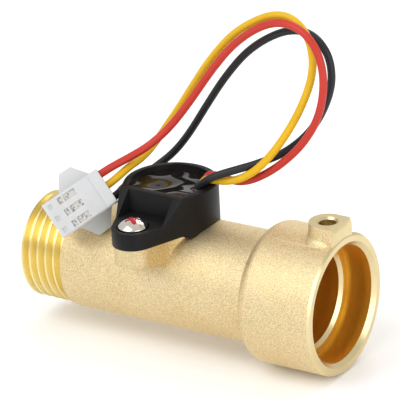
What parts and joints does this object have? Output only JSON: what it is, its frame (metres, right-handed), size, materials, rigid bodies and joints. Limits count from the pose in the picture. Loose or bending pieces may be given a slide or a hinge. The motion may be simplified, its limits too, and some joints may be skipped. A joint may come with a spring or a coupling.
{
  "type": "water flow sensor",
  "caption": "Brass in-line water flow sensor with a turbine inside, a threaded inlet, a wide socket outlet, a potted pickup cup on its top and three leads that end in a connector.",
  "frame": {"origin": "centre of the threaded end face, on the axis of the bore", "axes": "+X along the flow, from the threaded inlet to the mouth of the outlet socket; +Z from the bore's axis up through the sensor cup; the cup's screw ear points to -Y"},
  "size_m": [0.0664, 0.0311, 0.0659],
  "materials": {
    "brass": "blasted casting with machined ends",
    "cup_plastic": "fine moulded satin",
    "resin": "glossy epoxy",
    "screw_steel": "bright nickel plating",
    "red_lead": "satin PVC insulation",
    "yellow_lead": "satin PVC insulation",
    "black_lead": "satin PVC insulation",
    "nylon": "natural nylon",
    "tinned_contact": "bright tin plating",
    "board": "solder mask",
    "sensor_package": "moulded package",
    "ceramic": "fired ceramic",
    "resistor_body": "glazed",
    "insert_plastic": "natural acetal",
    "rotor_plastic": "moulded acetal",
    "ferrite": "sintered ferrite",
    "bush_plastic": "moulded bearing plastic",
    "stainless": "ground stainless steel",
    "spring_steel": "stainless spring steel"
  },
  "bodies": {
    "meter": {"brass_body": "brass", "sensor_housing": "cup_plastic", "potting_compound": "resin", "mounting_screw": "screw_steel", "wire_red": "red_lead", "wire_yellow": "yellow_lead", "wire_black": "black_lead", "connector_housing": "nylon", "contact_1": "tinned_contact", "contact_2": "tinned_contact", "contact_3": "tinned_contact", "circuit_board": "board", "hall_sensor": "sensor_package", "capacitor": "ceramic", "resistor": "resistor_body", "inlet_guide": "insert_plastic", "rotor_shaft": "stainless", "outlet_bracket": "insert_plastic", "retaining_ring": "spring_steel"},
    "rotor": {"impeller": "rotor_plastic", "rotor_magnet": "ferrite", "front_bush": "bush_plastic", "rear_bush": "bush_plastic"}
  },
  "joints": [
    {"name": "rotor_spin", "type": "hinge", "parent": "meter", "child": "rotor", "pos_m": [0.0292, 0, 0], "axis": [1, 0, 0], "continuous": true}
  ]
}
